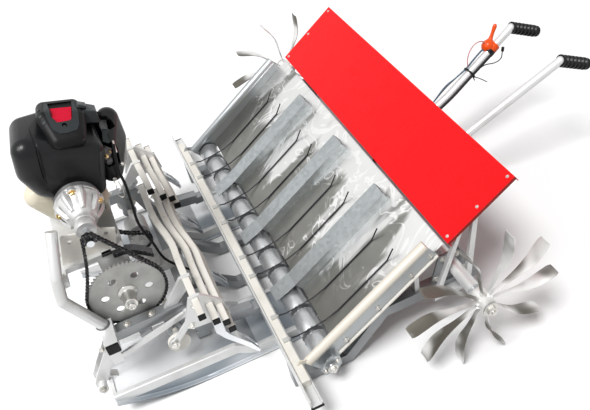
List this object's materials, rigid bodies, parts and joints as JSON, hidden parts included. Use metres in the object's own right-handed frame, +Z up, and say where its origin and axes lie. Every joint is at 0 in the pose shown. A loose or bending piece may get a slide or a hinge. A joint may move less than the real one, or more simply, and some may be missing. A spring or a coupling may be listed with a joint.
{
  "type": "walk behind rice transplanter",
  "caption": "Walk behind rice transplanter with a sloping seedling tray, planting claws, floats, paddle wheels, a chain driven engine and two handles.",
  "frame": {"origin": "on the ground, under the middle of the machine's length and width", "axes": "+X across the rows towards the recoil starter's side, +Y forward from the handles to the engine, +Z up"},
  "size_m": [1.02, 1.276, 0.5699],
  "materials": {
    "frame_paint": "satin white paint",
    "galvanised": "galvanised, slightly mottled",
    "bright_steel": "polished",
    "panel_red": "gloss",
    "engine_shroud": "satin charcoal",
    "engine_metal": "cast",
    "chain_steel": "oiled",
    "sprocket_grey": "ground",
    "cream_paint": "satin",
    "black_rubber": "matte",
    "black_plastic": "matte",
    "wire_black": "satin",
    "throttle_orange": "gloss",
    "tank_cream": "translucent look"
  },
  "bodies": {
    "machine": {"foot_rail": "frame_paint", "foot_rail_plugs": "black_plastic", "side_rail_left": "galvanised", "side_rail_right": "galvanised", "long_rails": "frame_paint", "cross_members": "frame_paint", "axle_tube": "frame_paint", "panel_struts": "galvanised", "tray_support_rail": "galvanised", "float_left": "frame_paint", "float_right": "frame_paint", "float_brackets": "frame_paint", "engine_frame": "frame_paint", "engine_plates": "cream_paint", "engine_block": "engine_metal", "muffler_cover": "engine_shroud", "plug_cover": "engine_shroud", "air_cleaner": "engine_shroud", "fuel_tank": "tank_cream", "recoil_starter": "engine_shroud", "clutch_housing": "engine_metal", "drive_shaft": "bright_steel", "small_sprocket": "chain_steel", "drive_chain": "chain_steel", "big_sprocket": "sprocket_grey", "counter_shaft": "bright_steel", "transfer_chain": "chain_steel", "transfer_gearbox": "galvanised", "crank_discs": "cream_paint", "connecting_rods": "frame_paint", "planting_bars": "cream_paint", "planting_links": "galvanised", "planting_claws": "bright_steel", "red_panel": "panel_red", "handle_left": "frame_paint", "handle_right": "frame_paint", "grip_left": "black_rubber", "grip_right": "black_rubber", "throttle_lever": "throttle_orange", "throttle_cable": "black_rubber"},
    "tray": {"tray_floor": "galvanised", "tray_dividers": "galvanised", "tray_side_left": "galvanised", "tray_side_right": "galvanised", "slide_bar": "cream_paint", "press_wires": "wire_black"},
    "feed_shaft": {"feed_rollers": "bright_steel"},
    "axle": {"wheel_axle": "bright_steel", "paddle_wheel_left": "bright_steel", "paddle_wheel_right": "bright_steel"}
  },
  "joints": [
    {"name": "tray_slide", "type": "slide", "parent": "machine", "child": "tray", "axis": [1, 0, 0], "range_m": [-0.065, 0.065]},
    {"name": "feed_turn", "type": "hinge", "parent": "tray", "child": "feed_shaft", "pos_m": [0, 0.198, 0.058], "axis": [1, 0, 0], "continuous": true},
    {"name": "axle_turn", "type": "hinge", "parent": "machine", "child": "axle", "pos_m": [0, -0.093, 0.158], "axis": [1, 0, 0], "continuous": true}
  ]
}
